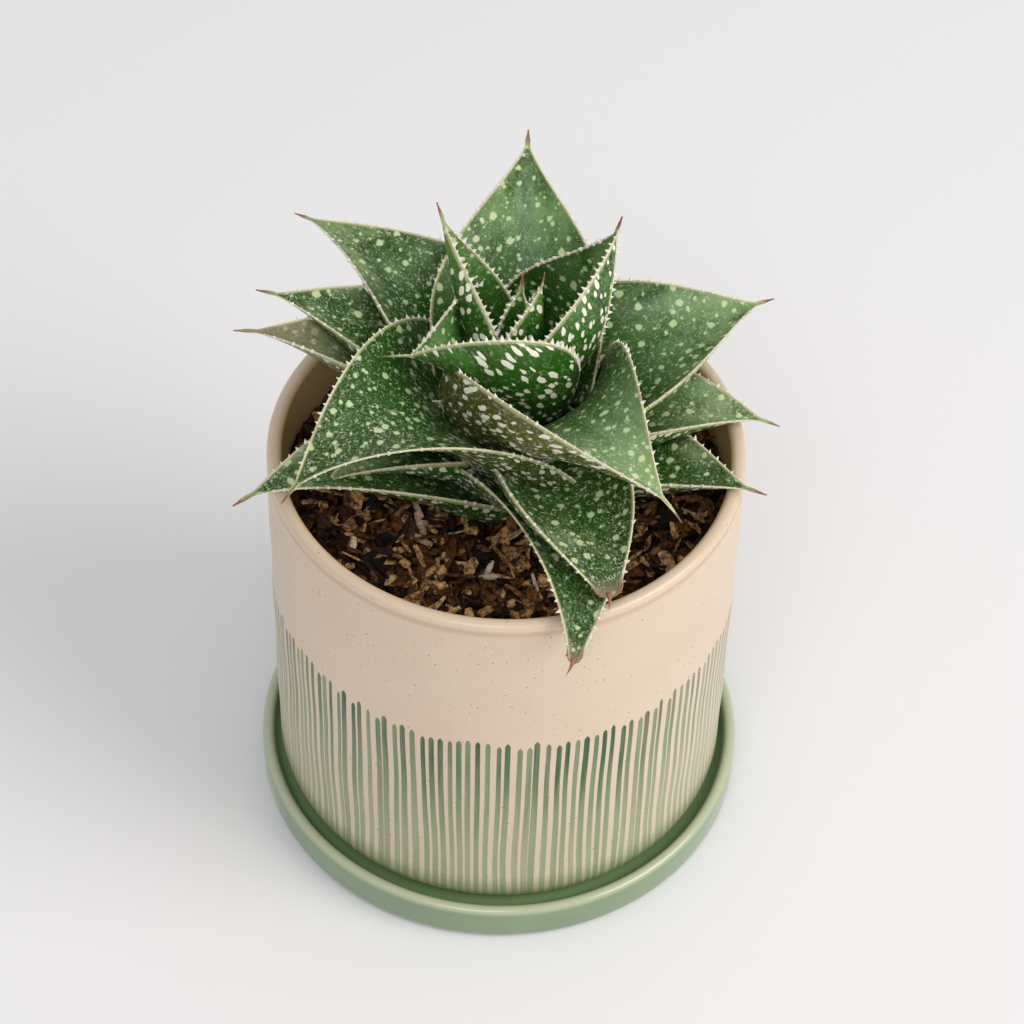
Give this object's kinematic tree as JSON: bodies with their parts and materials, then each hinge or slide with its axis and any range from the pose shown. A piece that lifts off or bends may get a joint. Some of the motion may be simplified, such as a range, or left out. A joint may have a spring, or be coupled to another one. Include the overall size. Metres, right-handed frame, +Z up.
{
  "type": "potted haworthia",
  "caption": "Rosette of pointed, channelled, white-toothed succulent leaves growing in bark soil in a straight ceramic pot that stands in a shallow saucer.",
  "frame": {"origin": "centre of the saucer's flat underside", "axes": "+Z up, along the axis of the pot; -Y towards the picture's camera; +X to its right"},
  "size_m": [0.1249, 0.1303, 0.1634],
  "materials": {
    "saucer_glaze": "glossy celadon glaze",
    "pot_glaze": "satin beige glaze, green brushed stripes low down",
    "soil": "loose bark chips",
    "stem": "matte",
    "leaf": "satin, pale spots, cream toothed margins"
  },
  "bodies": {
    "root": {"saucer": "saucer_glaze", "pot": "pot_glaze", "soil": "soil", "stem": "stem", "leaf_01": "leaf", "leaf_02": "leaf", "leaf_03": "leaf", "leaf_04": "leaf", "leaf_05": "leaf", "leaf_06": "leaf", "leaf_07": "leaf", "leaf_08": "leaf", "leaf_09": "leaf", "leaf_10": "leaf", "leaf_11": "leaf", "leaf_12": "leaf", "leaf_13": "leaf", "leaf_14": "leaf", "leaf_15": "leaf", "leaf_16": "leaf", "leaf_17": "leaf", "leaf_18": "leaf", "leaf_19": "leaf", "leaf_20": "leaf", "leaf_21": "leaf", "leaf_22": "leaf"}
  },
  "joints": []
}
